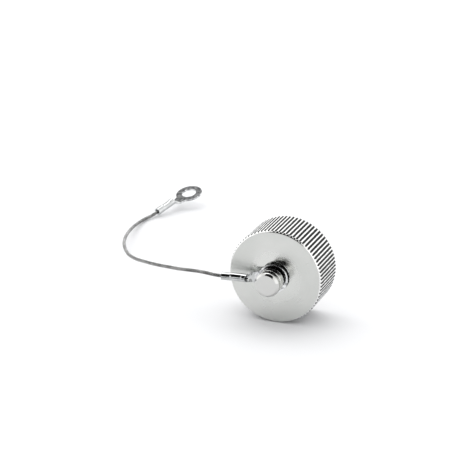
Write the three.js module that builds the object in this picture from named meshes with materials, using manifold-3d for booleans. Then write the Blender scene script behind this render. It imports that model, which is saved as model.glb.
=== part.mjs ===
// Knurled screw-on sealing cap for a round threaded receptacle, with a turned
// stud on its face and a wire rope lanyard that ends in two ring terminals.
// Millimetres, +Z up. The cap stands on its knurled edge, its axis along Y:
// the stud points to -Y and the threaded mouth opens to +Y.
import * as THREE from 'three';
import { mergeVertices } from 'three/addons/utils/BufferGeometryUtils.js';
import Module from 'manifold-3d';

const wasm = await Module();
wasm.setup();

// ---------- driving dimensions ----------
const CAP_RADIUS = 13;
const CAP_LENGTH = 12.4;
const TEETH = 80;
const TOOTH_DEPTH = 0.36;
const TOOTH_LAND = 0.32;
const FRONT_CHAMFER = 0.5;
const REAR_CHAMFER = 0.3;
const END_WALL = 3.2;
const THREAD_CORE_RADIUS = 11;
const THREAD_MAJOR_RADIUS = 11.5;
const RELIEF_RADIUS = 11.7;
const RELIEF_LENGTH = 2.6;
const MOUTH_CHAMFER = 0.6;

const STUD_HEIGHT = 6.6;
const HEAD_RADIUS = 3.4;
const HEAD_THICKNESS = 4.3;
const HEAD_CHAMFER = 0.6;
const NECK_RADIUS = 1.85;
const COLLAR_RADIUS = 2.7;
const COLLAR_HEIGHT = 0.5;
const SHANK_RADIUS = 2;
const TAIL_RADIUS = 3.2;
const TAIL_THICKNESS = 1.1;

const FIT_GAP = 0.3;
const SEAT_GAP = 0.1;

const WASHER_RADIUS = 5;
const WASHER_THICKNESS = 1;
const SEAL_SECTION = 0.5;
const SEAL_MEAN_RADIUS = 2.9;
const SEAL_POCKET_RADIUS = 3.7;
const SEAL_POCKET_DEPTH = 1.2;
const GASKET_OUTER = 10.7;
const GASKET_INNER = 6.8;
const GASKET_THICKNESS = 1.6;

const SHEET = 0.6;
const RING_RADIUS = 4;
const RING_HOLE_RADIUS = 2.15;
const PALM_HALF_WIDTH = 1.3;
const BARREL_RADIUS = 1.1;
const BARREL_START = 7.5;
const BARREL_END = 13.7;
const BARREL_OFFSET = 1.3;
const BARREL_BORE_RADIUS = 0.6;
const BARREL_BORE_DEPTH = 1.5;
const RING_HEIGHT = 1.25;
const CAP_EYELET_TILT = 7;
const ANCHOR_MOUTH = [-60.6, 59.6, 1.4];
const ANCHOR_HEADING = 67.5;
const ANCHOR_PITCH = 15;

const ROPE_RADIUS = 0.5;
const ROPE_SIDES = 8;
const ROPE_STEPS = 46;
const ROPE_ROUTE = [
  [-13.7, -7.2, 13.0],
  [-15.7, -7.35, 13.1],
  [-17.8, -7.05, 13.15],
  [-20.2, -6.5, 13.0],
  [-23.0, -5.85, 12.7],
  [-26.2, -4.9, 12.2],
  [-30.0, -3.2, 11.55],
  [-34.5, -0.8, 10.65],
  [-39.4, 2.4, 9.6],
  [-43.8, 5.8, 8.6],
  [-46.9, 9.0, 7.85],
  [-50.0, 13.4, 6.95],
  [-54.5, 21.6, 5.6],
  [-58.4, 31.6, 3.95],
  [-61.2, 42.0, 2.25],
  [-62.2, 47.8, 1.35],
  [-62.6, 52.3, 0.8],
  [-62.2, 55.3, 0.7],
  [-61.4, 57.7, 0.85],
  [-60.7, 59.35, 1.3],
];

const ROUND_SEGMENTS = 72;
const SMALL_SEGMENTS = 40;

// ---------- places along the cap's axis ----------
// The cap and stud are centred on Y = 0, and two crests of the knurl stand on Z = 0.
const TOOTH_ANGLE = (2 * Math.PI) / TEETH;
const LAND_ANGLE = TOOTH_LAND / CAP_RADIUS;
const AXIS_HEIGHT = CAP_RADIUS * Math.cos((TOOTH_ANGLE - LAND_ANGLE) / 2);
const HEAD_FRONT = -(CAP_LENGTH + STUD_HEIGHT) / 2;
const FACE = HEAD_FRONT + STUD_HEIGHT;
const RIM = FACE + CAP_LENGTH;
const WALL_INSIDE = FACE + END_WALL;
const WASHER_FRONT = WALL_INSIDE + SEAT_GAP;
const TAIL_FRONT = WASHER_FRONT + WASHER_THICKNESS + SEAT_GAP;

// ---------- helpers ----------
const vec2 = (point) => new THREE.Vector2(point[0], point[1]);

// A closed (radius, y) profile turned round the Y axis.
function turned(profile, segments) {
  return new THREE.LatheGeometry(profile.map(vec2), segments);
}

function toSolid(geometry) {
  const bare = geometry.index ? geometry.toNonIndexed() : geometry.clone();
  bare.deleteAttribute('normal');
  bare.deleteAttribute('uv');
  const merged = mergeVertices(bare, 1e-4);
  return new wasm.Manifold(new wasm.Mesh({
    numProp: 3,
    vertProperties: new Float32Array(merged.attributes.position.array),
    triVerts: new Uint32Array(merged.index.array),
  }));
}

function toGeometry(solid) {
  const mesh = solid.getMesh();
  const geometry = new THREE.BufferGeometry();
  geometry.setAttribute('position', new THREE.BufferAttribute(mesh.vertProperties, 3));
  geometry.setIndex(new THREE.BufferAttribute(mesh.triVerts, 1));
  geometry.computeVertexNormals();
  return geometry;
}

function metal(color, roughness) {
  return new THREE.MeshStandardMaterial({ color, roughness, metalness: 1 });
}

const materials = {
  satinNickel: metal(0xcfd0cd, 0.28),
  polishedNickel: metal(0xd6d7d4, 0.15),
  tinnedCopper: metal(0xd9dad8, 0.25),
  steelRope: metal(0x8d8f8e, 0.4),
  steel: metal(0xb4b6b6, 0.35),
  rubber: new THREE.MeshStandardMaterial({ color: 0x1c1c1d, roughness: 0.85, metalness: 0 }),
};

const assembly = new THREE.Group();
const capFrame = new THREE.Group();
capFrame.position.z = AXIS_HEIGHT;
assembly.add(capFrame);

function addPart(name, geometry, material, parent) {
  const mesh = new THREE.Mesh(geometry, material);
  mesh.name = name;
  parent.add(mesh);
  return mesh;
}

// ---------- cap shell: knurled outside, threaded cavity inside ----------
function knurlOutline() {
  const outline = new THREE.Shape();
  for (let tooth = 0; tooth < TEETH; tooth += 1) {
    const middle = -Math.PI / 2 + (tooth + 0.5) * TOOTH_ANGLE;
    const corners = [
      [CAP_RADIUS, middle - LAND_ANGLE / 2],
      [CAP_RADIUS, middle + LAND_ANGLE / 2],
      [CAP_RADIUS - TOOTH_DEPTH, middle + TOOTH_ANGLE / 2],
    ];
    for (const [radius, angle] of corners) {
      outline.lineTo(radius * Math.cos(angle), radius * Math.sin(angle));
    }
  }
  outline.curves.shift();
  outline.closePath();
  return outline;
}

function capShell() {
  const prism = new THREE.ExtrudeGeometry(knurlOutline(), { depth: CAP_LENGTH, bevelEnabled: false });
  prism.rotateX(-Math.PI / 2);
  prism.translate(0, FACE, 0);
  const beyond = 1;
  const envelope = turned([
    [0, FACE],
    [CAP_RADIUS - FRONT_CHAMFER, FACE],
    [CAP_RADIUS + beyond, FACE + FRONT_CHAMFER + beyond],
    [CAP_RADIUS + beyond, RIM - REAR_CHAMFER - beyond],
    [CAP_RADIUS - REAR_CHAMFER, RIM],
    [0, RIM],
  ], 2 * TEETH);
  const cavity = turned([
    [0, WALL_INSIDE],
    [RELIEF_RADIUS, WALL_INSIDE],
    [RELIEF_RADIUS, WALL_INSIDE + RELIEF_LENGTH],
    [THREAD_CORE_RADIUS, WALL_INSIDE + RELIEF_LENGTH + RELIEF_RADIUS - THREAD_CORE_RADIUS],
    [THREAD_CORE_RADIUS, RIM - MOUTH_CHAMFER],
    [THREAD_MAJOR_RADIUS + beyond, RIM - MOUTH_CHAMFER + THREAD_MAJOR_RADIUS + beyond - THREAD_CORE_RADIUS],
    [0, RIM - MOUTH_CHAMFER + THREAD_MAJOR_RADIUS + beyond - THREAD_CORE_RADIUS],
  ], ROUND_SEGMENTS);
  const studHole = turned([
    [0, FACE - beyond],
    [SHANK_RADIUS + FIT_GAP, FACE - beyond],
    [SHANK_RADIUS + FIT_GAP, WALL_INSIDE - SEAL_POCKET_DEPTH],
    [SEAL_POCKET_RADIUS, WALL_INSIDE - SEAL_POCKET_DEPTH],
    [SEAL_POCKET_RADIUS, WALL_INSIDE + beyond],
    [0, WALL_INSIDE + beyond],
  ], SMALL_SEGMENTS);
  const shell = toSolid(prism).intersect(toSolid(envelope)).subtract(toSolid(cavity)).subtract(toSolid(studHole));
  return toGeometry(shell);
}

// ---------- stud: head, neck that carries the ring, collar, riveted tail ----------
function lanyardStud() {
  const headBack = HEAD_FRONT + HEAD_THICKNESS;
  const collarFront = FACE - COLLAR_HEIGHT;
  const tailEnd = TAIL_FRONT + TAIL_THICKNESS;
  return turned([
    [0, HEAD_FRONT],
    [HEAD_RADIUS - HEAD_CHAMFER, HEAD_FRONT],
    [HEAD_RADIUS, HEAD_FRONT + HEAD_CHAMFER],
    [HEAD_RADIUS, headBack],
    [NECK_RADIUS, headBack],
    [NECK_RADIUS, collarFront],
    [COLLAR_RADIUS, collarFront],
    [COLLAR_RADIUS, FACE - SEAT_GAP],
    [SHANK_RADIUS, FACE - SEAT_GAP],
    [SHANK_RADIUS, TAIL_FRONT],
    [TAIL_RADIUS, TAIL_FRONT],
    [TAIL_RADIUS, TAIL_FRONT + TAIL_THICKNESS / 2],
    [TAIL_RADIUS * 0.72, tailEnd],
    [0, tailEnd],
  ], SMALL_SEGMENTS);
}

function flatRing(inner, outer, front, thickness, segments) {
  return turned([
    [inner, front],
    [outer, front],
    [outer, front + thickness],
    [inner, front + thickness],
    [inner, front],
  ], segments);
}

function studSeal() {
  const ring = new THREE.TorusGeometry(SEAL_MEAN_RADIUS, SEAL_SECTION, 10, SMALL_SEGMENTS);
  ring.rotateX(Math.PI / 2);
  ring.translate(0, WALL_INSIDE - SEAL_POCKET_DEPTH / 2, 0);
  return ring;
}

// ---------- ring terminal ----------
// Its own frame: the ring's centre at the origin, the ring flat in XY, the arm
// along +X, and the barrel standing on the +Z side of the sheet.
function ringTerminal() {
  const joinAngle = 0.52;
  const outline = new THREE.Shape();
  outline.absarc(0, 0, RING_RADIUS, joinAngle, 2 * Math.PI - joinAngle, false);
  outline.quadraticCurveTo(4.6, -1.5, BARREL_START - 1, -PALM_HALF_WIDTH);
  outline.lineTo(BARREL_START - 0.6, -PALM_HALF_WIDTH);
  outline.lineTo(BARREL_START - 0.6, PALM_HALF_WIDTH);
  outline.lineTo(BARREL_START - 1, PALM_HALF_WIDTH);
  outline.quadraticCurveTo(4.6, 1.5, RING_RADIUS * Math.cos(joinAngle), RING_RADIUS * Math.sin(joinAngle));
  const hole = new THREE.Path();
  hole.absarc(0, 0, RING_HOLE_RADIUS, 0, 2 * Math.PI, true);
  outline.holes.push(hole);
  const palm = new THREE.ExtrudeGeometry(outline, { depth: SHEET, bevelEnabled: false, curveSegments: 36 });
  palm.translate(0, 0, -SHEET / 2);

  const ramp = new THREE.Shape([
    [BARREL_START - 1.6, -SHEET / 2],
    [BARREL_START - 0.6, -SHEET / 2],
    [BARREL_START + 0.8, BARREL_OFFSET - BARREL_RADIUS + 0.15],
    [BARREL_START + 0.8, BARREL_OFFSET],
    [BARREL_START - 0.4, BARREL_OFFSET - 0.2],
    [BARREL_START - 1.6, SHEET / 2],
  ].map(vec2));
  const rampSolid = new THREE.ExtrudeGeometry(ramp, { depth: 2 * BARREL_RADIUS - 0.4, bevelEnabled: false });
  rampSolid.translate(0, 0, -(BARREL_RADIUS - 0.2));
  rampSolid.rotateX(Math.PI / 2);

  const length = BARREL_END - BARREL_START;
  const barrel = new THREE.CylinderGeometry(BARREL_RADIUS, BARREL_RADIUS, length, 20);
  barrel.rotateZ(-Math.PI / 2);
  barrel.translate((BARREL_START + BARREL_END) / 2, 0, BARREL_OFFSET);
  const mouth = new THREE.CylinderGeometry(BARREL_BORE_RADIUS, BARREL_BORE_RADIUS, 2 * BARREL_BORE_DEPTH, 12);
  mouth.rotateZ(-Math.PI / 2);
  mouth.translate(BARREL_END, 0, BARREL_OFFSET);
  return toGeometry(toSolid(palm).add(toSolid(rampSolid)).add(toSolid(barrel)).subtract(toSolid(mouth)));
}

// Places a terminal whose arm runs along `arm` and whose barrel side faces `side`.
function aimTerminal(mesh, centre, arm, side) {
  const across = new THREE.Vector3().crossVectors(side, arm);
  mesh.matrixAutoUpdate = true;
  mesh.quaternion.setFromRotationMatrix(new THREE.Matrix4().makeBasis(arm, across, side));
  mesh.position.copy(centre);
}

// The ring sits loosely on the collar and leans, so that the barrel stands off the cap's face.
function placeCapEyelet(mesh) {
  const tilt = THREE.MathUtils.degToRad(CAP_EYELET_TILT);
  const arm = new THREE.Vector3(-Math.cos(tilt), -Math.sin(tilt), 0);
  const side = new THREE.Vector3(Math.sin(tilt), -Math.cos(tilt), 0);
  aimTerminal(mesh, new THREE.Vector3(0, FACE - RING_HEIGHT, AXIS_HEIGHT), arm, side);
}

function placeAnchorEyelet(mesh) {
  const heading = THREE.MathUtils.degToRad(ANCHOR_HEADING);
  const pitch = THREE.MathUtils.degToRad(ANCHOR_PITCH);
  const flat = new THREE.Vector3(Math.cos(heading), Math.sin(heading), 0);
  const arm = flat.clone().multiplyScalar(-Math.cos(pitch));
  arm.z = -Math.sin(pitch);
  const side = flat.clone().multiplyScalar(-Math.sin(pitch));
  side.z = Math.cos(pitch);
  const centre = new THREE.Vector3(...ANCHOR_MOUTH)
    .addScaledVector(arm, -BARREL_END)
    .addScaledVector(side, -BARREL_OFFSET);
  aimTerminal(mesh, centre, arm, side);
}

// ---------- wire rope ----------
function wireRope() {
  const section = new THREE.Shape();
  for (let side = 0; side < ROPE_SIDES; side += 1) {
    const angle = (side * 2 * Math.PI) / ROPE_SIDES;
    section.lineTo(ROPE_RADIUS * Math.cos(angle), ROPE_RADIUS * Math.sin(angle));
  }
  section.curves.shift();
  section.closePath();
  const route = new THREE.CatmullRomCurve3(ROPE_ROUTE.map((point) => new THREE.Vector3(...point)));
  return new THREE.ExtrudeGeometry(section, { steps: ROPE_STEPS, bevelEnabled: false, extrudePath: route });
}

// ---------- assembly ----------
addPart('cap_shell', capShell(), materials.satinNickel, capFrame);
addPart('lanyard_stud', lanyardStud(), materials.polishedNickel, capFrame);
addPart('stud_seal', studSeal(), materials.rubber, capFrame);
addPart(
  'stud_washer',
  flatRing(SHANK_RADIUS + FIT_GAP, WASHER_RADIUS, WASHER_FRONT, WASHER_THICKNESS, SMALL_SEGMENTS),
  materials.steel,
  capFrame,
);
addPart(
  'sealing_gasket',
  flatRing(GASKET_INNER, GASKET_OUTER, WALL_INSIDE + SEAT_GAP, GASKET_THICKNESS, ROUND_SEGMENTS),
  materials.rubber,
  capFrame,
);
placeCapEyelet(addPart('cap_eyelet', ringTerminal(), materials.tinnedCopper, assembly));
placeAnchorEyelet(addPart('anchor_eyelet', ringTerminal(), materials.tinnedCopper, assembly));
addPart('wire_rope', wireRope(), materials.steelRope, assembly);

export default assembly;
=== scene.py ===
import math

import bmesh
import bpy
from mathutils import Matrix, Vector
from mathutils.geometry import delaunay_2d_cdt


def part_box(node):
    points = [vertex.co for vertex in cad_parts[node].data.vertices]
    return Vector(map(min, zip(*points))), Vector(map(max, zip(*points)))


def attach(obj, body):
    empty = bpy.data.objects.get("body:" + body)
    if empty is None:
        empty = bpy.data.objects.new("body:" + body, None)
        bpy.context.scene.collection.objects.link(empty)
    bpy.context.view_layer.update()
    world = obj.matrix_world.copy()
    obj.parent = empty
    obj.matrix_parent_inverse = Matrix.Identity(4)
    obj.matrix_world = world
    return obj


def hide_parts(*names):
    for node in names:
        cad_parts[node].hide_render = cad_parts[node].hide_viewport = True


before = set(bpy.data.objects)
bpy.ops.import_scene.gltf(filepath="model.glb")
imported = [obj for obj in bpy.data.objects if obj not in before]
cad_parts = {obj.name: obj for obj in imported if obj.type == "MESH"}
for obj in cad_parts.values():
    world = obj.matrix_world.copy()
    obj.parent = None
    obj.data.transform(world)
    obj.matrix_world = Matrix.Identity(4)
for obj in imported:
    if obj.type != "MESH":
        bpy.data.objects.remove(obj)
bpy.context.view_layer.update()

MM = 0.001
WELD_DISTANCE = 1e-7
NORMAL_WEIGHT = 80
FILLET_STEPS = 4

# ---------- places taken from the frame ----------
shell_low, shell_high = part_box("cap_shell")
stud_low, stud_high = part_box("lanyard_stud")
seal_low, seal_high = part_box("stud_seal")
washer_low, washer_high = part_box("stud_washer")
gasket_low, gasket_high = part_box("sealing_gasket")

AXIS_Z = (stud_low[2] + stud_high[2]) / 2
HEAD_FRONT = stud_low[1]
TAIL_END = stud_high[1]
FACE = shell_low[1]
RIM = shell_high[1]

# ---------- cap dimensions ----------
CAP_RADIUS = 13.0 * MM
TEETH = 80
TOOTH_DEPTH = 0.36 * MM
TOOTH_LAND = 0.3 * MM
LAND_EASE = 0.03
FLANK_PHASES = [0.27, 0.42]
GROOVE_EASE = 0.008
GROOVE_ROOT = 0.96
FRONT_CHAMFER = 0.5 * MM
REAR_CHAMFER = 0.3 * MM
FACE_EDGE = 0.05 * MM
END_WALL = 3.2 * MM
THREAD_CORE = 11.0 * MM
THREAD_DEPTH = 0.5 * MM
THREAD_PITCH = 1.0 * MM
THREAD_CREST = 0.12
THREAD_FLANKS = 0.8
ROWS_PER_PITCH = 8
RELIEF_RADIUS = 11.7 * MM
RELIEF_LENGTH = 2.6 * MM
RELIEF_CORNER = 0.3 * MM
MOUTH_CHAMFER = 0.6 * MM
STUD_HOLE = 2.3 * MM
POCKET_RADIUS = 3.7 * MM
POCKET_DEPTH = 1.2 * MM
POCKET_EDGE = 0.1 * MM
FACE_FINISH = 0
KNURL_FINISH = 1
INSIDE_FINISH = 2

# ---------- stud dimensions ----------
HEAD_RADIUS = 3.4 * MM
HEAD_THICKNESS = 4.3 * MM
HEAD_GROOVE_START = 2.1 * MM
HEAD_GROOVE_WIDTH = 0.3 * MM
HEAD_GROOVE_DEPTH = 0.15 * MM
HEAD_CHAMFER = 0.6 * MM
NECK_RADIUS = 1.85 * MM
COLLAR_RADIUS = 2.7 * MM
COLLAR_HEIGHT = 0.5 * MM
COLLAR_GAP = 0.02 * MM
SHANK_RADIUS = 2.0 * MM
TAIL_RADIUS = 3.2 * MM
TAIL_THICKNESS = 1.1 * MM
TAIL_RIM = 0.45
TAIL_CROWN = 0.7
STUD_EDGE = 0.06 * MM

# ---------- seal, washer and gasket dimensions ----------
SEAL_SIDES = 16
SEAL_STEPS = 96
WASHER_EDGE = 0.12 * MM
GASKET_INNER = 6.8 * MM
GASKET_EDGE = 0.2 * MM
GASKET_GROOVE_MOUTH = 0.8 * MM
GASKET_GROOVE_BED = 0.5 * MM
GASKET_GROOVE_DEPTH = 0.18 * MM

# ---------- ring terminal dimensions ----------
SHEET = 0.5 * MM
SHEET_EDGE = 0.07 * MM
RING_RADIUS = 4.0 * MM
RING_HOLE = 2.15 * MM
RING_JOIN_ANGLE = 0.52
RING_JOIN_BEND = (4.6 * MM, 1.5 * MM)
TONGUE_HALF_WIDTH = 1.3 * MM
TONGUE_START = 6.3 * MM
WING_START = 6.5 * MM
WING_END = 7.5 * MM
CURL_START = 5.5 * MM
CURL_END = 7.0 * MM
RAMP_START = 5.0 * MM
BARREL_RADIUS = 1.1 * MM
BARREL_END = 13.7 * MM
BARREL_OFFSET = 1.3 * MM
SEAM_GAP = 0.02 * MM
CRIMP_START = 7.9 * MM
CRIMP_END = 11.4 * MM
CRIMP_DEPTH = 0.18 * MM
CRIMP_FADE_IN = 0.7 * MM
CRIMP_FADE_OUT = 0.5 * MM
CRIMP_SIDE_START = 1.5
CRIMP_SIDE_FULL = 3.0
BLANK_CORNER = 0.25 * MM
BLANK_STEP = 0.14 * MM
ROW_SPACING = 0.866
RING_STEPS = 80
JOIN_STEPS = 18
WING_STEPS = 14
HOLE_STEPS = 96
EDGE_STEPS = 8
RING_HEIGHT = 1.25 * MM
CAP_EYELET_TILT = 7
ANCHOR_MOUTH = Vector((-60.6, 59.6, 1.4)) * MM
ANCHOR_HEADING = 67.5
ANCHOR_PITCH = 15

# ---------- wire rope ----------
ROPE_DIAMETER = 0.98 * MM
STRANDS = 6
WIRES = 6
ROPE_LAY = 6.5 * MM
STRAND_LAY = 2.4 * MM
ROPE_STEP = 0.2 * MM
ROPE_TUCK = 1.2 * MM
STRAND_RADIUS = ROPE_DIAMETER / 6
WIRE_RADIUS = STRAND_RADIUS / 3
WIRE_VALLEY = 1.95 * WIRE_RADIUS
WIRE_CREST = 2.9 * WIRE_RADIUS
CREST_ANGLE = 0.18
CORE_SIDES = 8
CORE_STRIDE = 3
SPAN_STEPS = 40
ROPE_ROUTE = [
    (-13.7, -7.2, 13.0),
    (-15.7, -7.35, 13.1),
    (-17.8, -7.05, 13.15),
    (-20.2, -6.5, 13.0),
    (-23.0, -5.85, 12.7),
    (-26.2, -4.9, 12.2),
    (-30.0, -3.2, 11.55),
    (-34.5, -0.8, 10.65),
    (-39.4, 2.4, 9.6),
    (-43.8, 5.8, 8.6),
    (-46.9, 9.0, 7.85),
    (-50.0, 13.4, 6.95),
    (-54.5, 21.6, 5.6),
    (-58.4, 31.6, 3.95),
    (-61.2, 42.0, 2.25),
    (-62.2, 47.8, 1.35),
    (-62.6, 52.3, 0.8),
    (-62.2, 55.3, 0.7),
    (-61.4, 57.7, 0.85),
    (-60.7, 59.35, 1.3),
]

# ---------- finishes: each tone is linear RGBA, in a main tone and the shade it clouds to ----------
SATIN_NICKEL = ((0.66, 0.665, 0.645, 1), (0.6, 0.612, 0.59, 1))
POLISHED_NICKEL = ((0.6, 0.6, 0.585, 1), (0.57, 0.57, 0.56, 1))
INSIDE_NICKEL = ((0.62, 0.61, 0.58, 1), (0.55, 0.54, 0.52, 1))
KNURL_NICKEL = ((0.84, 0.84, 0.83, 1), (0.76, 0.77, 0.76, 1))
WASHER_STEEL = ((0.56, 0.56, 0.56, 1), (0.5, 0.5, 0.5, 1))
MOTTLED_TIN = ((0.78, 0.785, 0.79, 1), (0.3, 0.305, 0.315, 1))
BRIGHT_TIN = ((0.6, 0.61, 0.61, 1), (0.5, 0.51, 0.51, 1))
ROPE_STEEL = ((0.34, 0.34, 0.335, 1), (0.2, 0.2, 0.197, 1))
SEAL_RUBBER = ((0.012, 0.012, 0.013, 1), (0.05, 0.05, 0.05, 1))
GASKET_RUBBER = ((0.014, 0.014, 0.015, 1), (0.06, 0.06, 0.058, 1))
FLOOR_TONES = ((0.9, 0.9, 0.91, 1), (0.91, 0.91, 0.91, 1))
# painted shade: a near black laid into the knurl's grooves, where shade falls
PAINTED_GROOVE_SHADE = (0.02, 0.021, 0.02, 1)
# painted shade: a near black for the back face of the stud's head, where shade falls between head, ring and
# face
PAINTED_HEAD_SHADE = (0.06, 0.06, 0.058, 1)
GLOSSY_START = 4.5 * MM
GLOSSY_END = 8.5 * MM
# depth below the land where the painted groove shade starts and where it is full
GROOVE_SHADE_START = 0.02 * MM
GROOVE_SHADE_FULL = 0.09 * MM
TURNING_RELIEF = 0.0015 * MM
SCRATCH_RELIEF = 0.004 * MM
MARK_RELIEF = 0.006 * MM
PEBBLE_RELIEF = 0.02 * MM
# band of painted shade on the back of the stud's head: its margin along the axis, and how far out from the
# neck it starts
HEAD_SHADE_MARGIN = 0.1 * MM
HEAD_SHADE_START = 0.15 * MM
# ragged edge of the painted groove shade, and how much rougher and less metallic it makes the grooves
GROOVE_SHADE_PATCHES = 0.03 * MM
GROOVE_SHADE_ROUGHNESS = 0.25
GROOVE_SHADE_DULLING = 0.8
KNURL_ROUGHNESS = (0.08, 0.14)
RUBBER_ROUGHNESS = (0.55, 0.8)
FLOOR_ROUGHNESS = 0.9
LOW_SPECULAR = 0.1

# ---------- noise textures: scales to a metre, and the range that most of a noise's values lie in ----------
TURNING_SCALE = 2200
TURNED_CLOUD_SCALE = 180
SMUDGE_SCALE = 70
# patch size along the edge of the painted groove shade
GROOVE_SHADE_SCALE = 900
KNURL_CLOUD_SCALE = 500
SCRATCH_SCALE = 3200
MARK_SCALE = 2600
PEBBLE_SCALE = 3200
BLOOM_SCALE = 300
FLOOR_SCALE = 3
NOISE_RANGE = (0.3, 0.7)

# ---------- camera ----------
CAMERA_AZIMUTH = 21.4
CAMERA_ELEVATION = 20.9
CAMERA_DISTANCE = 581 * MM
CAMERA_LENS = 172.9
CAMERA_AIM = Vector((-12.9, -3.1, 24.85)) * MM
CAMERA_NEAR = 0.01
CAMERA_FAR = 20

# ---------- studio ----------
FLOOR_HALF = 2.5
DOME_COLOUR = (0.985, 0.99, 1.0, 1)
DOME_FRONT = 0.7
DOME_BACK = 1.34
DOME_EDGE = 0.8
SCREENS_LOW = 1.9
SCREENS_HIGH = 1.5
SCREENS_CHANGE_START = 0.42
SCREENS_CHANGE_END = 0.62
KEY_PLACE = (-0.5, 0.3, 0.8)
KEY_SIZE = 1.3
KEY_POWER = 4.0

# Round zones of the screens: the direction of the middle, the angles where the change is done and where it
# starts, in degrees, and the factor in the middle.
SCREEN_ZONES = [
    ((-0.3, 0.25, 0.92), 10, 24, 3.0),
    ((0.0, -0.6, 0.8), 26, 33, 0.02),
    ((-0.1, -0.93, 0.36), 29, 35, 0.01),
    ((-0.44, 0.62, 0.65), 12, 20, 0.3),
]


def make_camera():
    azimuth = math.radians(CAMERA_AZIMUTH)
    elevation = math.radians(CAMERA_ELEVATION)
    back = Vector((
        math.sin(azimuth) * math.cos(elevation),
        -math.cos(azimuth) * math.cos(elevation),
        math.sin(elevation),
    ))
    data = bpy.data.cameras.new("camera")
    data.lens = CAMERA_LENS
    data.clip_start = CAMERA_NEAR
    data.clip_end = CAMERA_FAR
    camera = bpy.data.objects.new("camera", data)
    bpy.context.collection.objects.link(camera)
    camera.location = CAMERA_AIM + back * CAMERA_DISTANCE
    camera.rotation_euler = (-back).to_track_quat("-Z", "Y").to_euler()
    bpy.context.scene.camera = camera


# ---------- material helpers ----------
class Nodes:
    """Short ways to add and join the shader nodes of one material or world."""

    def __init__(self, tree):
        self.tree = tree
        tree.nodes.clear()

    def add(self, kind, **values):
        node = self.tree.nodes.new(kind)
        for name, value in values.items():
            setattr(node, name, value)
        return node

    def link(self, source, target):
        self.tree.links.new(source, target)

    def feed(self, socket, value):
        if isinstance(value, bpy.types.NodeSocket):
            self.link(value, socket)
        else:
            socket.default_value = value

    def math(self, operation, *values):
        node = self.add("ShaderNodeMath", operation=operation)
        for socket, value in zip(node.inputs, values):
            self.feed(socket, value)
        return node.outputs[0]

    def spread(self, value, low, high, to_low, to_high, smooth=False):
        """Maps low..high to to_low..to_high, held at the ends."""
        node = self.add("ShaderNodeMapRange")
        if smooth:
            node.interpolation_type = "SMOOTHSTEP"
        for name, item in (
            ("Value", value),
            ("From Min", low),
            ("From Max", high),
            ("To Min", to_low),
            ("To Max", to_high),
        ):
            self.feed(node.inputs[name], item)
        return node.outputs[0]

    def noise(self, vector, scale, detail=4.0, rough=0.5):
        node = self.add("ShaderNodeTexNoise")
        self.feed(node.inputs["Vector"], vector)
        node.inputs["Scale"].default_value = scale
        node.inputs["Detail"].default_value = detail
        node.inputs["Roughness"].default_value = rough
        return node.outputs["Fac"]

    def mix(self, factor, first, second):
        node = self.add("ShaderNodeMix", data_type="RGBA")
        self.feed(node.inputs[0], factor)
        self.feed(node.inputs[6], first)
        self.feed(node.inputs[7], second)
        return node.outputs[2]

    def bump(self, height, strength, distance):
        node = self.add("ShaderNodeBump")
        node.inputs["Strength"].default_value = strength
        node.inputs["Distance"].default_value = distance
        self.link(height, node.inputs["Height"])
        return node.outputs[0]

    def axis_place(self, place):
        """The distance from the cap's axis, and the place along it."""
        split = self.add("ShaderNodeSeparateXYZ")
        self.link(place, split.inputs[0])
        height = self.math("SUBTRACT", split.outputs["Z"], AXIS_Z)
        across = self.math("MULTIPLY", split.outputs["X"], split.outputs["X"])
        upward = self.math("MULTIPLY", height, height)
        return self.math("SQRT", self.math("ADD", across, upward)), split.outputs["Y"]


def new_material(name):
    material = bpy.data.materials.new(name)
    material.use_nodes = True
    nodes = Nodes(material.node_tree)
    output = nodes.add("ShaderNodeOutputMaterial")
    shader = nodes.add("ShaderNodeBsdfPrincipled")
    nodes.link(shader.outputs[0], output.inputs[0])
    place = nodes.add("ShaderNodeTexCoord").outputs["Object"]
    return material, nodes, shader, place


def turned_metal(name, tones, roughness, groove, head_shade_band=None):
    """Plated metal with the fine rings that a lathe tool leaves round the cap's axis.

    It is glossier near the axis. The last argument, if given, is the start, end and inner radius of a band
    painted near black as painted shade on the back of the stud's head.
    """
    material, nodes, shader, place = new_material(name)
    radius, along = nodes.axis_place(place)
    rings = nodes.add("ShaderNodeTexNoise", noise_dimensions="1D")
    nodes.link(nodes.math("ADD", radius, along), rings.inputs["W"])
    rings.inputs["Scale"].default_value = TURNING_SCALE
    rings.inputs["Detail"].default_value = 2
    cloud = nodes.noise(place, TURNED_CLOUD_SCALE, 5)
    smudge = nodes.noise(place, SMUDGE_SCALE, 3)
    colour = nodes.mix(nodes.spread(smudge, 0.35, 0.7, 0, 1), *tones)
    if head_shade_band:
        start, end, inner = head_shade_band
        past_start = nodes.math("GREATER_THAN", along, start)
        before_end = nodes.math("LESS_THAN", along, end)
        head_shade_place = nodes.math("MULTIPLY", past_start, before_end)
        head_shade_place = nodes.math("MULTIPLY", head_shade_place, nodes.math("GREATER_THAN", radius, inner))
        # painted shade: the band on the back of the head is coloured near black
        colour = nodes.mix(head_shade_place, colour, PAINTED_HEAD_SHADE)
    nodes.link(colour, shader.inputs["Base Color"])
    streak = nodes.spread(rings.outputs["Fac"], *NOISE_RANGE, -0.03, 0.03)
    wander = nodes.spread(cloud, *NOISE_RANGE, roughness - 0.02, roughness + 0.04)
    smoother = nodes.spread(radius, GLOSSY_START, GLOSSY_END, -0.6 * roughness, 0, smooth=True)
    rough = nodes.math("ADD", nodes.math("ADD", streak, wander), smoother)
    nodes.link(rough, shader.inputs["Roughness"])
    nodes.link(nodes.bump(rings.outputs["Fac"], groove, TURNING_RELIEF), shader.inputs["Normal"])
    shader.inputs["Metallic"].default_value = 1
    return material


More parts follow.
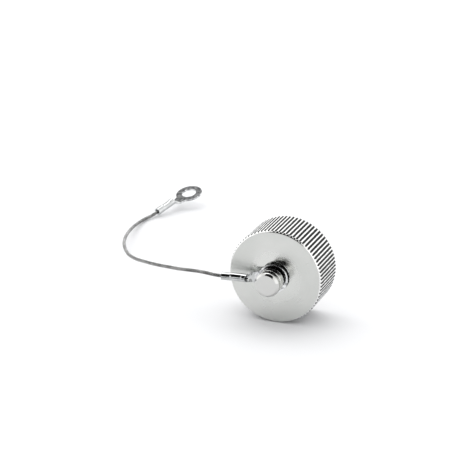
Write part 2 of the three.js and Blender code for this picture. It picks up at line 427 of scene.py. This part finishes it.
def knurled_nickel(name):
    """Bright lands, with painted shade that darkens the grooves by their depth; the same mask also makes the
    grooves rougher and less metallic.
    """
    material, nodes, shader, place = new_material(name)
    radius, along = nodes.axis_place(place)
    front = nodes.math("ADD", nodes.math("SUBTRACT", along, FACE), CAP_RADIUS - FRONT_CHAMFER)
    rear = nodes.math("ADD", nodes.math("SUBTRACT", RIM, along), CAP_RADIUS - REAR_CHAMFER)
    top = nodes.math("MINIMUM", nodes.math("MINIMUM", front, rear), CAP_RADIUS)
    # painted shade: below the land the colour goes to near black with depth, standing in for the shade down
    # in the grooves
    depth = nodes.math("SUBTRACT", top, radius)
    patchy = nodes.spread(nodes.noise(place, GROOVE_SHADE_SCALE, 4), *NOISE_RANGE, -GROOVE_SHADE_PATCHES, GROOVE_SHADE_PATCHES)
    groove_shade = nodes.spread(nodes.math("ADD", depth, patchy), GROOVE_SHADE_START, GROOVE_SHADE_FULL, 0, 1, smooth=True)
    cloud = nodes.noise(place, KNURL_CLOUD_SCALE, 5)
    bright = nodes.mix(nodes.spread(cloud, 0.35, 0.7, 0, 1), *KNURL_NICKEL)
    nodes.link(nodes.mix(groove_shade, bright, PAINTED_GROOVE_SHADE), shader.inputs["Base Color"])
    gloss = nodes.spread(cloud, *NOISE_RANGE, *KNURL_ROUGHNESS)
    rough = nodes.math("ADD", gloss, nodes.math("MULTIPLY", groove_shade, GROOVE_SHADE_ROUGHNESS))
    nodes.link(rough, shader.inputs["Roughness"])
    scratch = nodes.noise(place, SCRATCH_SCALE, 3)
    nodes.link(nodes.bump(scratch, 0.15, SCRATCH_RELIEF), shader.inputs["Normal"])
    metallic = nodes.math("SUBTRACT", 1.0, nodes.math("MULTIPLY", groove_shade, GROOVE_SHADE_DULLING))
    nodes.link(metallic, shader.inputs["Metallic"])
    shader.inputs["Specular IOR Level"].default_value = LOW_SPECULAR
    return material


def bright_metal(name, tones, roughness, spots, grain):
    """Plated metal that clouds between its tones in spots, spots to a metre, with fine handling marks."""
    material, nodes, shader, place = new_material(name)
    cloud = nodes.noise(place, spots, 5)
    marks = nodes.noise(place, MARK_SCALE, 4, 0.6)
    nodes.link(nodes.mix(nodes.spread(cloud, 0.4, 0.6, 0, 1), *tones), shader.inputs["Base Color"])
    rough = nodes.spread(cloud, 0.3, 0.75, roughness * 0.8, roughness * 1.35)
    nodes.link(rough, shader.inputs["Roughness"])
    nodes.link(nodes.bump(marks, grain, MARK_RELIEF), shader.inputs["Normal"])
    shader.inputs["Metallic"].default_value = 1
    return material


def rubber(name, tones):
    """Moulded rubber with a fine pebble and a little pale bloom."""
    material, nodes, shader, place = new_material(name)
    pebble = nodes.noise(place, PEBBLE_SCALE, 3)
    bloom = nodes.noise(place, BLOOM_SCALE, 4)
    nodes.link(nodes.mix(nodes.spread(bloom, 0.45, 0.8, 0, 0.5), *tones), shader.inputs["Base Color"])
    nodes.link(nodes.spread(bloom, 0.3, 0.8, *RUBBER_ROUGHNESS), shader.inputs["Roughness"])
    nodes.link(nodes.bump(pebble, 0.3, PEBBLE_RELIEF), shader.inputs["Normal"])
    return material


# ---------- mesh helpers ----------
def new_object(name, verts, faces, materials, indices=None):
    mesh = bpy.data.meshes.new(name)
    mesh.from_pydata(verts, [], faces)
    for material in materials:
        mesh.materials.append(material)
    if indices is not None:
        mesh.polygons.foreach_set("material_index", indices)
    work = bmesh.new()
    work.from_mesh(mesh)
    bmesh.ops.remove_doubles(work, verts=work.verts, dist=WELD_DISTANCE)
    bmesh.ops.recalc_face_normals(work, faces=work.faces)
    for face in work.faces:
        face.smooth = True
    work.to_mesh(mesh)
    work.free()
    piece = bpy.data.objects.new(name, mesh)
    bpy.context.collection.objects.link(piece)
    modifier = piece.modifiers.new("weighted_normals", "WEIGHTED_NORMAL")
    modifier.weight = NORMAL_WEIGHT
    return piece


def finish_piece(piece, body, slot, *nodes):
    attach(piece, body)
    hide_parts(*nodes)


def smoothstep(value, start, end):
    t = min(1.0, max(0.0, (value - start) / (end - start)))
    return t * t * (3 - 2 * t)


def rounded(corners, steps=FILLET_STEPS):
    """An outline of (radius, y, fillet) corners, each corner rounded by its fillet."""
    points = []
    for index, (radius, y, fillet) in enumerate(corners):
        corner = Vector((radius, y))
        if fillet <= 0:
            points.append(corner)
            continue
        before = Vector(corners[index - 1][:2])
        after = Vector(corners[(index + 1) % len(corners)][:2])
        start = corner + (before - corner).normalized() * fillet
        end = corner + (after - corner).normalized() * fillet
        for step in range(steps + 1):
            t = step / steps
            points.append(start.lerp(corner, t).lerp(corner.lerp(end, t), t))
    return points


def revolve(name, rows, angles, materials, closed, row_tags=None):
    """Turns rows round the cap's axis. A row is a function that gives (radius, y) at an angle."""
    verts = []
    for angle in angles:
        for row in rows:
            radius, y = row(angle)
            verts.append((radius * math.cos(angle), y, AXIS_Z + radius * math.sin(angle)))
    count = len(rows)
    faces = []
    indices = []
    for column in range(len(angles)):
        first = column * count
        second = (column + 1) % len(angles) * count
        for row in range(count if closed else count - 1):
            after = (row + 1) % count
            faces.append((first + row, second + row, second + after, first + after))
            indices.append(row_tags[row] if row_tags else 0)
    return new_object(name, verts, faces, materials, indices)


def turned(name, corners, materials, steps=96, closed=False):
    """A plain turned part from (radius, y, fillet) corners."""
    rows = [lambda angle, point=point: (point[0], point[1]) for point in rounded(corners)]
    angles = [2 * math.pi * step / steps for step in range(steps)]
    return revolve(name, rows, angles, materials, closed)


# ---------- cap: knurled outside, threaded inside ----------
TOOTH_ANGLE = 2 * math.pi / TEETH
LAND = TOOTH_LAND / CAP_RADIUS / TOOTH_ANGLE


def groove_depth(angle):
    """How deep the knurl is at an angle: flat lands with eased corners, V grooves with a small root."""
    phase = (angle + math.pi / 2) / TOOTH_ANGLE - 0.5
    phase = abs(phase - round(phase))
    flank = (phase - LAND / 2) / (0.5 - LAND / 2)
    eased = (flank + math.sqrt(flank * flank + GROOVE_EASE)) / 2
    return TOOTH_DEPTH * min(eased, GROOVE_ROOT)


def outside_row(y):
    """A row on the knurl, cut back by the chamfer at each end."""
    limit = min(
        CAP_RADIUS,
        CAP_RADIUS - FRONT_CHAMFER + (y - FACE),
        CAP_RADIUS - REAR_CHAMFER + (RIM - y),
    )
    return lambda angle: (min(limit, CAP_RADIUS - groove_depth(angle)), y)


def thread_row(y, start, end):
    """A row on the internal thread, a 60 degree V groove along a helix that runs out at both ends."""
    fade = smoothstep(y, start, start + THREAD_PITCH) * (1 - smoothstep(y, end - THREAD_PITCH / 2, end))

    def place(angle):
        turn = y / THREAD_PITCH - angle / (2 * math.pi)
        wave = abs((turn - math.floor(turn)) * 2 - 1)
        groove = min(1.0, max(0.0, (wave - THREAD_CREST) / THREAD_FLANKS))
        return THREAD_CORE + THREAD_DEPTH * groove * fade, y

    return place


def plain_row(radius, y):
    return lambda angle: (radius, y)


def spaced(start, end, count):
    return [start + (end - start) * step / (count - 1) for step in range(count)]


def cap_rows():
    """Rows round one half section, each with its finish."""
    wall = FACE + END_WALL
    face_radius = CAP_RADIUS - FRONT_CHAMFER
    relief_end = wall + RELIEF_LENGTH
    thread_start = relief_end + RELIEF_RADIUS - THREAD_CORE
    thread_end = RIM - MOUTH_CHAMFER
    rows = [(plain_row(STUD_HOLE, FACE), FACE_FINISH)]
    for radius in spaced(STUD_HOLE + 0.5 * MM, face_radius - 2 * FACE_EDGE, 14):
        rows.append((plain_row(radius, FACE), FACE_FINISH))
    rows.append((plain_row(face_radius - FACE_EDGE * 0.6, FACE + FACE_EDGE * 0.1), FACE_FINISH))
    for y in spaced(FACE + FACE_EDGE * 0.6, FACE + FRONT_CHAMFER, 7):
        rows.append((outside_row(y), KNURL_FINISH))
    for y in spaced(FACE + FRONT_CHAMFER * 1.2, RIM - REAR_CHAMFER * 1.2, 6):
        rows.append((outside_row(y), KNURL_FINISH))
    for y in spaced(RIM - REAR_CHAMFER, RIM - FACE_EDGE * 0.6, 5):
        rows.append((outside_row(y), KNURL_FINISH))
    rows.append((plain_row(CAP_RADIUS - REAR_CHAMFER - FACE_EDGE, RIM), INSIDE_FINISH))
    mouth = THREAD_CORE + MOUTH_CHAMFER
    rows.append((plain_row(mouth + FACE_EDGE, RIM), INSIDE_FINISH))
    rows.append((plain_row(mouth, RIM - FACE_EDGE), INSIDE_FINISH))
    thread_rows = round((thread_end - thread_start) / THREAD_PITCH * ROWS_PER_PITCH)
    for y in spaced(thread_end, thread_start, thread_rows):
        rows.append((thread_row(y, thread_start, thread_end), INSIDE_FINISH))
    rows.append((plain_row(RELIEF_RADIUS, relief_end), INSIDE_FINISH))
    corner = rounded([(RELIEF_RADIUS, relief_end, 0), (RELIEF_RADIUS, wall, RELIEF_CORNER), (0, wall, 0)])
    for radius, y in corner[1:-1]:
        rows.append((plain_row(radius, y), INSIDE_FINISH))
    for radius in spaced(RELIEF_RADIUS - 1.2 * MM, POCKET_RADIUS + POCKET_EDGE, 6):
        rows.append((plain_row(radius, wall), INSIDE_FINISH))
    rows.append((plain_row(POCKET_RADIUS, wall - POCKET_EDGE), INSIDE_FINISH))
    rows.append((plain_row(POCKET_RADIUS, wall - POCKET_DEPTH), INSIDE_FINISH))
    rows.append((plain_row(STUD_HOLE, wall - POCKET_DEPTH), INSIDE_FINISH))
    return rows


def knurl_angles():
    """Angles that put points on each land, its corners, its flanks and the groove's root."""
    edge = LAND / 2
    right = [edge - LAND_EASE, edge + LAND_EASE] + FLANK_PHASES
    phases = [-0.5] + [-phase for phase in reversed(right)] + [0] + right
    angles = []
    for tooth in range(TEETH):
        middle = -math.pi / 2 + (tooth + 0.5) * TOOTH_ANGLE
        angles.extend(middle + phase * TOOTH_ANGLE for phase in phases)
    return angles


def make_cap():
    rows = cap_rows()
    finishes = [
        turned_metal("satin_nickel_face", SATIN_NICKEL, roughness=0.31, groove=0.4),
        knurled_nickel("knurled_nickel"),
        turned_metal("nickel_inside", INSIDE_NICKEL, roughness=0.28, groove=0.5),
    ]
    tags = [tag for row, tag in rows]
    piece = revolve("cap_body", [row for row, tag in rows], knurl_angles(), finishes, True, tags)
    finish_piece(piece, "cap", "satin_nickel", "cap_shell")


# ---------- stud, seal, washer and gasket ----------
def make_stud():
    head_back = HEAD_FRONT + HEAD_THICKNESS
    groove = HEAD_FRONT + HEAD_GROOVE_START
    collar_front = FACE - COLLAR_HEIGHT
    seat = FACE - COLLAR_GAP
    tail_front = TAIL_END - TAIL_THICKNESS
    corners = [
        (0, HEAD_FRONT, 0),
        (HEAD_RADIUS - HEAD_CHAMFER, HEAD_FRONT, STUD_EDGE),
        (HEAD_RADIUS, HEAD_FRONT + HEAD_CHAMFER, 4 * STUD_EDGE),
        (HEAD_RADIUS, groove, STUD_EDGE),
        (HEAD_RADIUS - HEAD_GROOVE_DEPTH, groove + HEAD_GROOVE_WIDTH / 2, STUD_EDGE),
        (HEAD_RADIUS, groove + HEAD_GROOVE_WIDTH, STUD_EDGE),
        (HEAD_RADIUS, head_back, 3 * STUD_EDGE),
        (NECK_RADIUS, head_back, 2 * STUD_EDGE),
        (NECK_RADIUS, collar_front, 2 * STUD_EDGE),
        (COLLAR_RADIUS, collar_front, STUD_EDGE),
        (COLLAR_RADIUS, seat, STUD_EDGE),
        (SHANK_RADIUS, seat, STUD_EDGE),
        (SHANK_RADIUS, tail_front, STUD_EDGE),
        (TAIL_RADIUS, tail_front, STUD_EDGE),
        (TAIL_RADIUS, tail_front + TAIL_THICKNESS * TAIL_RIM, 5 * STUD_EDGE),
        (TAIL_RADIUS * TAIL_CROWN, TAIL_END, 10 * STUD_EDGE),
        (0, TAIL_END, 0),
    ]
    # painted shade on the back face of the head, out from the neck
    head_shade_band = (head_back - HEAD_SHADE_MARGIN, head_back + HEAD_SHADE_MARGIN, NECK_RADIUS + HEAD_SHADE_START)
    polished = turned_metal("polished_nickel", POLISHED_NICKEL, roughness=0.1, groove=0.15, head_shade_band=head_shade_band)
    piece = turned("stud", corners, [polished], steps=128)
    finish_piece(piece, "cap", "polished_nickel", "lanyard_stud")


def make_seal():
    middle = (seal_low[1] + seal_high[1]) / 2
    section = (seal_high[1] - seal_low[1]) / 2
    outer = (seal_high[0] - seal_low[0]) / 2
    rows = []
    for step in range(SEAL_SIDES):
        angle = 2 * math.pi * step / SEAL_SIDES
        radius = outer - section + section * math.cos(angle)
        rows.append(plain_row(radius, middle + section * math.sin(angle)))
    angles = [2 * math.pi * step / SEAL_STEPS for step in range(SEAL_STEPS)]
    black = rubber("seal_rubber", SEAL_RUBBER)
    piece = revolve("o_ring", rows, angles, [black], True)
    finish_piece(piece, "cap", "seal_rubber", "stud_seal")


def make_washer():
    outer = (washer_high[0] - washer_low[0]) / 2
    front = washer_low[1]
    back = washer_high[1]
    corners = [
        (STUD_HOLE, front, WASHER_EDGE),
        (outer, front, WASHER_EDGE),
        (outer, back, WASHER_EDGE),
        (STUD_HOLE, back, WASHER_EDGE),
    ]
    steel = turned_metal("washer_steel", WASHER_STEEL, roughness=0.3, groove=0.3)
    piece = turned("washer", corners, [steel], closed=True)
    finish_piece(piece, "cap", "washer_steel", "stud_washer")


def make_gasket():
    outer = (gasket_high[0] - gasket_low[0]) / 2
    front = gasket_low[1]
    back = gasket_high[1]
    middle = (GASKET_INNER + outer) / 2
    bed = back - GASKET_GROOVE_DEPTH
    corners = [
        (GASKET_INNER, front, GASKET_EDGE),
        (outer, front, GASKET_EDGE),
        (outer, back, GASKET_EDGE),
        (middle + GASKET_GROOVE_MOUTH, back, GASKET_EDGE),
        (middle + GASKET_GROOVE_BED, bed, GASKET_EDGE),
        (middle - GASKET_GROOVE_BED, bed, GASKET_EDGE),
        (middle - GASKET_GROOVE_MOUTH, back, GASKET_EDGE),
        (GASKET_INNER, back, GASKET_EDGE),
    ]
    black = rubber("gasket_rubber", GASKET_RUBBER)
    piece = turned("gasket", corners, [black], steps=144, closed=True)
    finish_piece(piece, "cap", "gasket_rubber", "sealing_gasket")


# ---------- ring terminals: a flat blank with a hole, folded into a barrel ----------
MEAN_RADIUS = BARREL_RADIUS - SHEET / 2
WING_HALF_WIDTH = math.pi * MEAN_RADIUS - SEAM_GAP


def resample(points, step):
    """Points an even distance apart along an open line."""
    kept = [points[0]]
    for start, end in zip(points, points[1:]):
        count = max(1, round((end - start).length / step))
        kept.extend(start.lerp(end, part / count) for part in range(1, count + 1))
    return kept


def blank_half():
    """The upper half of the flat blank's outline, from the far side of the ring to the mouth."""
    points = []
    for step in range(RING_STEPS + 1):
        angle = math.pi + (RING_JOIN_ANGLE - math.pi) * step / RING_STEPS
        points.append(Vector((RING_RADIUS * math.cos(angle), RING_RADIUS * math.sin(angle))))
    start = points[-1]
    bend = Vector(RING_JOIN_BEND)
    end = Vector((TONGUE_START, TONGUE_HALF_WIDTH))
    for step in range(1, JOIN_STEPS + 1):
        t = step / JOIN_STEPS
        points.append(start.lerp(bend, t).lerp(bend.lerp(end, t), t))
    points.append(Vector((WING_START, TONGUE_HALF_WIDTH)))
    for step in range(1, WING_STEPS + 1):
        x = WING_START + (WING_END - WING_START) * step / WING_STEPS
        rise = (WING_HALF_WIDTH - TONGUE_HALF_WIDTH) * smoothstep(x, WING_START, WING_END)
        points.append(Vector((x, TONGUE_HALF_WIDTH + rise)))
    cut = BLANK_CORNER * 0.3
    points.append(Vector((BARREL_END - BLANK_CORNER, WING_HALF_WIDTH)))
    points.append(Vector((BARREL_END - cut, WING_HALF_WIDTH - cut)))
    points.append(Vector((BARREL_END, WING_HALF_WIDTH - BLANK_CORNER)))
    points.append(Vector((BARREL_END, 0)))
    return resample(points, BLANK_STEP)


def blank_loops():
    """The blank's outline and its hole, both with the metal on their left."""
    half = blank_half()
    lower = [Vector((point.x, -point.y)) for point in half[1:-1]]
    outline = lower + half[::-1]
    hole = []
    for step in range(HOLE_STEPS):
        angle = -2 * math.pi * step / HOLE_STEPS
        hole.append(Vector((RING_HOLE * math.cos(angle), RING_HOLE * math.sin(angle))))
    return [outline, hole]


def inset(loop, distance):
    """The loop moved towards the metal."""
    moved = []
    for index, point in enumerate(loop):
        along = (loop[(index + 1) % len(loop)] - loop[index - 1]).normalized()
        moved.append(point + Vector((-along.y, along.x)) * distance)
    return moved


def inside(point, loop):
    """Whether a point is inside a loop."""
    crossings = 0
    for start, end in zip(loop, loop[1:] + loop[:1]):
        if (start.y > point.y) != (end.y > point.y):
            cross = start.x + (end.x - start.x) * (point.y - start.y) / (end.y - start.y)
            crossings += cross > point.x
    return crossings % 2 == 1


def fold(point, height):
    """Where a point of the flat blank goes when the tongue is joggled and the wings are curled."""
    curl = smoothstep(point.x, CURL_START, CURL_END) / MEAN_RADIUS
    rise = (BARREL_OFFSET - MEAN_RADIUS) * smoothstep(point.x, RAMP_START, CURL_END)
    if curl * MM < 1e-6:
        return Vector((point.x, point.y, rise + height))
    bend = 1 / curl
    angle = point.y * curl
    across = math.sin(angle) * (bend - height)
    up = bend - math.cos(angle) * (bend - height)
    span = smoothstep(point.x, CRIMP_START, CRIMP_START + CRIMP_FADE_IN)
    span *= 1 - smoothstep(point.x, CRIMP_END - CRIMP_FADE_OUT, CRIMP_END)
    dent = CRIMP_DEPTH * span * smoothstep(abs(angle), CRIMP_SIDE_START, CRIMP_SIDE_FULL)
    return Vector((point.x, across, rise + up - dent))


def blank_mesh(loops):
    """Triangles that fill the blank between its inset loops."""
    points = []
    edges = []
    for loop in loops:
        first = len(points)
        points.extend(loop)
        edges.extend((first + index, first + (index + 1) % len(loop)) for index in range(len(loop)))
    clear = 0.7 * BLANK_STEP
    guard = [inset(loop, clear) for loop in loops]
    row = 0
    y = -RING_RADIUS
    while y < RING_RADIUS:
        x = -RING_RADIUS + (row % 2) * BLANK_STEP / 2
        while x < BARREL_END:
            point = Vector((x, y))
            if inside(point, guard[0]) and not inside(point, guard[1]):
                points.append(point)
            x += BLANK_STEP
        y += BLANK_STEP * ROW_SPACING
        row += 1
    verts, _, faces, _, _, _ = delaunay_2d_cdt(points, edges, [], 0, 1e-9)
    kept = []
    for face in faces:
        middle = (verts[face[0]] + verts[face[1]] + verts[face[2]]) / 3
        if inside(middle, loops[0]) and not inside(middle, loops[1]):
            kept.append(tuple(face))
    return list(verts), kept


def terminal_shape():
    """The folded terminal in its own frame: ring in XY, arm along +X.

    Gives its points and faces, and for each face 0 on the mottled ring or 1 on the smooth tongue and barrel.
    """
    loops = blank_loops()
    flat, triangles = blank_mesh([inset(loop, SHEET_EDGE) for loop in loops])
    verts = [fold(point, SHEET / 2) for point in flat]
    verts += [fold(point, -SHEET / 2) for point in flat]
    faces = list(triangles)
    faces += [tuple(len(flat) + index for index in reversed(face)) for face in triangles]
    profile = []
    for step in range(EDGE_STEPS + 1):
        angle = math.pi / 2 - math.pi * step / EDGE_STEPS
        side = math.copysign(SHEET / 2 - SHEET_EDGE, math.sin(angle)) if 2 * step != EDGE_STEPS else 0
        profile.append((SHEET_EDGE * (1 - math.cos(angle)), side + SHEET_EDGE * math.sin(angle)))
    for loop in loops:
        rings = []
        for distance, height in profile:
            rings.append(len(verts))
            verts += [fold(point, height) for point in inset(loop, distance)]
        for ring, after in zip(rings, rings[1:]):
            for index in range(len(loop)):
                step = (index + 1) % len(loop)
                faces.append((ring + index, ring + step, after + step, after + index))
    smooth_part = [int(verts[face[0]].x > RAMP_START) for face in faces]
    return verts, faces, smooth_part


def make_terminal(name, node, shape, centre, arm, side, materials):
    across = side.cross(arm)
    turn = Matrix((arm, across, side)).transposed()
    verts = [centre + turn @ point for point in shape[0]]
    piece = new_object(name, verts, shape[1], materials, shape[2])
    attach(piece, "lanyard")
    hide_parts(node)
    return piece


def make_terminals():
    shape = terminal_shape()
    tin = [
        bright_metal("mottled_tin", MOTTLED_TIN, roughness=0.14, spots=1100, grain=0.2),
        bright_metal("bright_tin", BRIGHT_TIN, roughness=0.12, spots=500, grain=0.08),
    ]
    tilt = math.radians(CAP_EYELET_TILT)
    arm = Vector((-math.cos(tilt), -math.sin(tilt), 0))
    side = Vector((math.sin(tilt), -math.cos(tilt), 0))
    centre = Vector((0, FACE - RING_HEIGHT, AXIS_Z))
    near = make_terminal("cap_ring_terminal", "cap_eyelet", shape, centre, arm, side, tin)
    near_mouth = centre + arm * BARREL_END + side * BARREL_OFFSET

    heading = math.radians(ANCHOR_HEADING)
    pitch = math.radians(ANCHOR_PITCH)
    flat = Vector((math.cos(heading), math.sin(heading), 0))
    upward = Vector((0, 0, 1))
    far_arm = -math.cos(pitch) * flat - math.sin(pitch) * upward
    far_side = -math.sin(pitch) * flat + math.cos(pitch) * upward
    far_centre = ANCHOR_MOUTH - far_arm * BARREL_END - far_side * BARREL_OFFSET
    far = make_terminal("anchor_ring_terminal", "anchor_eyelet", shape, far_centre, far_arm, far_side, tin)
    start = near_mouth - arm * ROPE_TUCK
    end = ANCHOR_MOUTH - far_arm * ROPE_TUCK
    return near, far, start, end


# ---------- wire rope: six strands of six wires round a core ----------
def smooth_span(before, start, end, after, steps):
    """Points from start towards end on the centripetal Catmull-Rom curve through all four."""
    t1 = math.sqrt((start - before).length)
    t2 = t1 + math.sqrt((end - start).length)
    t3 = t2 + math.sqrt((after - end).length)
    points = []
    for step in range(steps):
        t = t1 + (t2 - t1) * step / steps
        first = before.lerp(start, t / t1)
        second = start.lerp(end, (t - t1) / (t2 - t1))
        third = end.lerp(after, (t - t2) / (t3 - t2))
        low = first.lerp(second, t / t2)
        high = second.lerp(third, (t - t1) / (t3 - t1))
        points.append(low.lerp(high, (t - t1) / (t2 - t1)))
    return points


def rope_line(start, end):
    """The rope's middle line, evenly spaced, from inside one barrel to inside the other."""
    knots = [start] + [Vector(point) * MM for point in ROPE_ROUTE] + [end]
    padded = [2 * knots[0] - knots[1]] + knots + [2 * knots[-1] - knots[-2]]
    dense = []
    for index in range(1, len(padded) - 2):
        dense += smooth_span(*padded[index - 1:index + 3], SPAN_STEPS)
    dense.append(knots[-1])
    length = sum((b - a).length for a, b in zip(dense, dense[1:]))
    spacing = length / round(length / ROPE_STEP)
    line = [dense[0]]
    gone = 0.0
    for first, second in zip(dense, dense[1:]):
        piece = (second - first).length
        while gone + piece >= spacing * len(line) - 1e-9:
            line.append(first.lerp(second, (spacing * len(line) - gone) / piece))
        gone += piece
    return line, length


def side_vectors(line):
    """Two side vectors at each point of a line, turned as little as possible on the way."""
    sides = []
    tangent = (line[1] - line[0]).normalized()
    side = tangent.cross(Vector((0, 0, 1))).normalized()
    for index in range(len(line)):
        before = line[max(0, index - 1)]
        after = line[min(len(line) - 1, index + 1)]
        tangent = (after - before).normalized()
        side = (side - tangent * side.dot(tangent)).normalized()
        sides.append((side, tangent.cross(side)))
    return sides


def add_tube(verts, faces, rings):
    """Joins equal rings of points into a tube with closed ends."""
    first = len(verts)
    count = len(rings[0])
    for ring in rings:
        verts.extend(ring)
    for row in range(len(rings) - 1):
        near = first + row * count
        for index in range(count):
            step = (index + 1) % count
            faces.append((near + index, near + step, near + count + step, near + count + index))
    last = first + (len(rings) - 1) * count
    faces.append(tuple(first + index for index in reversed(range(count))))
    faces.append(tuple(last + index for index in range(count)))


def strand_outline():
    """(angle, radius) round one strand: six wires with a valley between each two."""
    outline = []
    for number in range(WIRES):
        middle = 2 * math.pi * number / WIRES
        outline.append((middle - math.pi / WIRES, WIRE_VALLEY))
        outline.append((middle - CREST_ANGLE, WIRE_CREST))
        outline.append((middle + CREST_ANGLE, WIRE_CREST))
    return outline


def make_rope(start, end):
    line, length = rope_line(start, end)
    sides = side_vectors(line)
    spacing = length / (len(line) - 1)
    outline = strand_outline()
    verts = []
    faces = []
    for number in range(STRANDS):
        rings = []
        for index, (point, (across, upward)) in enumerate(zip(line, sides)):
            gone = index * spacing
            lay = 2 * math.pi * (number / STRANDS + gone / ROPE_LAY)
            middle = point + (across * math.cos(lay) + upward * math.sin(lay)) * 2 * STRAND_RADIUS
            twist = lay - 2 * math.pi * gone / STRAND_LAY
            rings.append([
                middle + (across * math.cos(twist + angle) + upward * math.sin(twist + angle)) * radius
                for angle, radius in outline
            ])
        add_tube(verts, faces, rings)
    core = []
    for point, (across, upward) in zip(line[::CORE_STRIDE], sides[::CORE_STRIDE]):
        turns = [2 * math.pi * step / CORE_SIDES for step in range(CORE_SIDES)]
        core.append([
            point + (across * math.cos(turn) + upward * math.sin(turn)) * STRAND_RADIUS
            for turn in turns
        ])
    add_tube(verts, faces, core)
    steel = bright_metal("rope_steel", ROPE_STEEL, roughness=0.16, spots=700, grain=0.2)
    piece = new_object("lanyard_rope", verts, faces, [steel])
    finish_piece(piece, "lanyard", "rope_steel", "wire_rope")


# ---------- studio ----------
def make_floor():
    verts = [(side * FLOOR_HALF, end * FLOOR_HALF, 0) for side, end in ((-1, -1), (1, -1), (1, 1), (-1, 1))]
    material, nodes, shader, place = new_material("studio_floor")
    shader.inputs["Roughness"].default_value = FLOOR_ROUGHNESS
    shader.inputs["Specular IOR Level"].default_value = LOW_SPECULAR
    tone = nodes.spread(nodes.noise(place, FLOOR_SCALE, 2), *NOISE_RANGE, 0, 1)
    nodes.link(nodes.mix(tone, *FLOOR_TONES), shader.inputs["Base Color"])
    mesh = bpy.data.meshes.new("studio_floor")
    mesh.from_pydata(verts, [], [(0, 1, 2, 3)])
    mesh.materials.append(material)
    floor = bpy.data.objects.new("studio_floor", mesh)
    bpy.context.collection.objects.link(floor)


def dome_zone(nodes, direction, centre, inner, outer, factor):
    """A value that goes from one to the factor towards the middle of a round zone of the dome."""
    facing = nodes.add("ShaderNodeVectorMath", operation="DOT_PRODUCT")
    nodes.link(direction, facing.inputs[0])
    facing.inputs[1].default_value = Vector(centre).normalized()
    edge = math.cos(math.radians(outer))
    core = math.cos(math.radians(inner))
    return nodes.spread(facing.outputs["Value"], edge, core, 1.0, factor, smooth=True)


def make_world():
    """A white dome lights the floor. Reflections see white screens with dark flags between them instead."""
    world = bpy.data.worlds.new("studio")
    bpy.context.scene.world = world
    world.use_nodes = True
    nodes = Nodes(world.node_tree)
    output = nodes.add("ShaderNodeOutputWorld")
    direction = nodes.add("ShaderNodeTexCoord").outputs["Generated"]
    split = nodes.add("ShaderNodeSeparateXYZ")
    nodes.link(direction, split.inputs[0])

    soft = nodes.add("ShaderNodeBackground")
    soft.inputs["Color"].default_value = DOME_COLOUR
    strength = nodes.spread(split.outputs["Y"], -DOME_EDGE, DOME_EDGE, DOME_FRONT, DOME_BACK)
    nodes.link(strength, soft.inputs["Strength"])

    screens = nodes.add("ShaderNodeBackground")
    change = (SCREENS_CHANGE_START, SCREENS_CHANGE_END)
    level = nodes.spread(split.outputs["Z"], *change, SCREENS_LOW, SCREENS_HIGH, smooth=True)
    for zone in SCREEN_ZONES:
        level = nodes.math("MULTIPLY", level, dome_zone(nodes, direction, *zone))
    nodes.link(level, screens.inputs["Strength"])

    chooser = nodes.add("ShaderNodeMixShader")
    glossy = nodes.add("ShaderNodeLightPath").outputs["Is Glossy Ray"]
    nodes.link(glossy, chooser.inputs[0])
    nodes.link(soft.outputs[0], chooser.inputs[1])
    nodes.link(screens.outputs[0], chooser.inputs[2])
    nodes.link(chooser.outputs[0], output.inputs[0])


def make_key_light():
    data = bpy.data.lights.new("key", "AREA")
    data.energy = KEY_POWER
    data.size = KEY_SIZE
    light = bpy.data.objects.new("key", data)
    bpy.context.collection.objects.link(light)
    light.visible_glossy = False
    light.location = KEY_PLACE
    light.rotation_euler = (-light.location).to_track_quat("-Z", "Y").to_euler()


make_camera()
near_terminal, far_terminal, rope_start, rope_end = make_terminals()
make_rope(rope_start, rope_end)
make_cap()
make_stud()
make_seal()
make_washer()
make_gasket()
make_floor()
make_world()
make_key_light()
bpy.context.scene.view_settings.view_transform = "Standard"
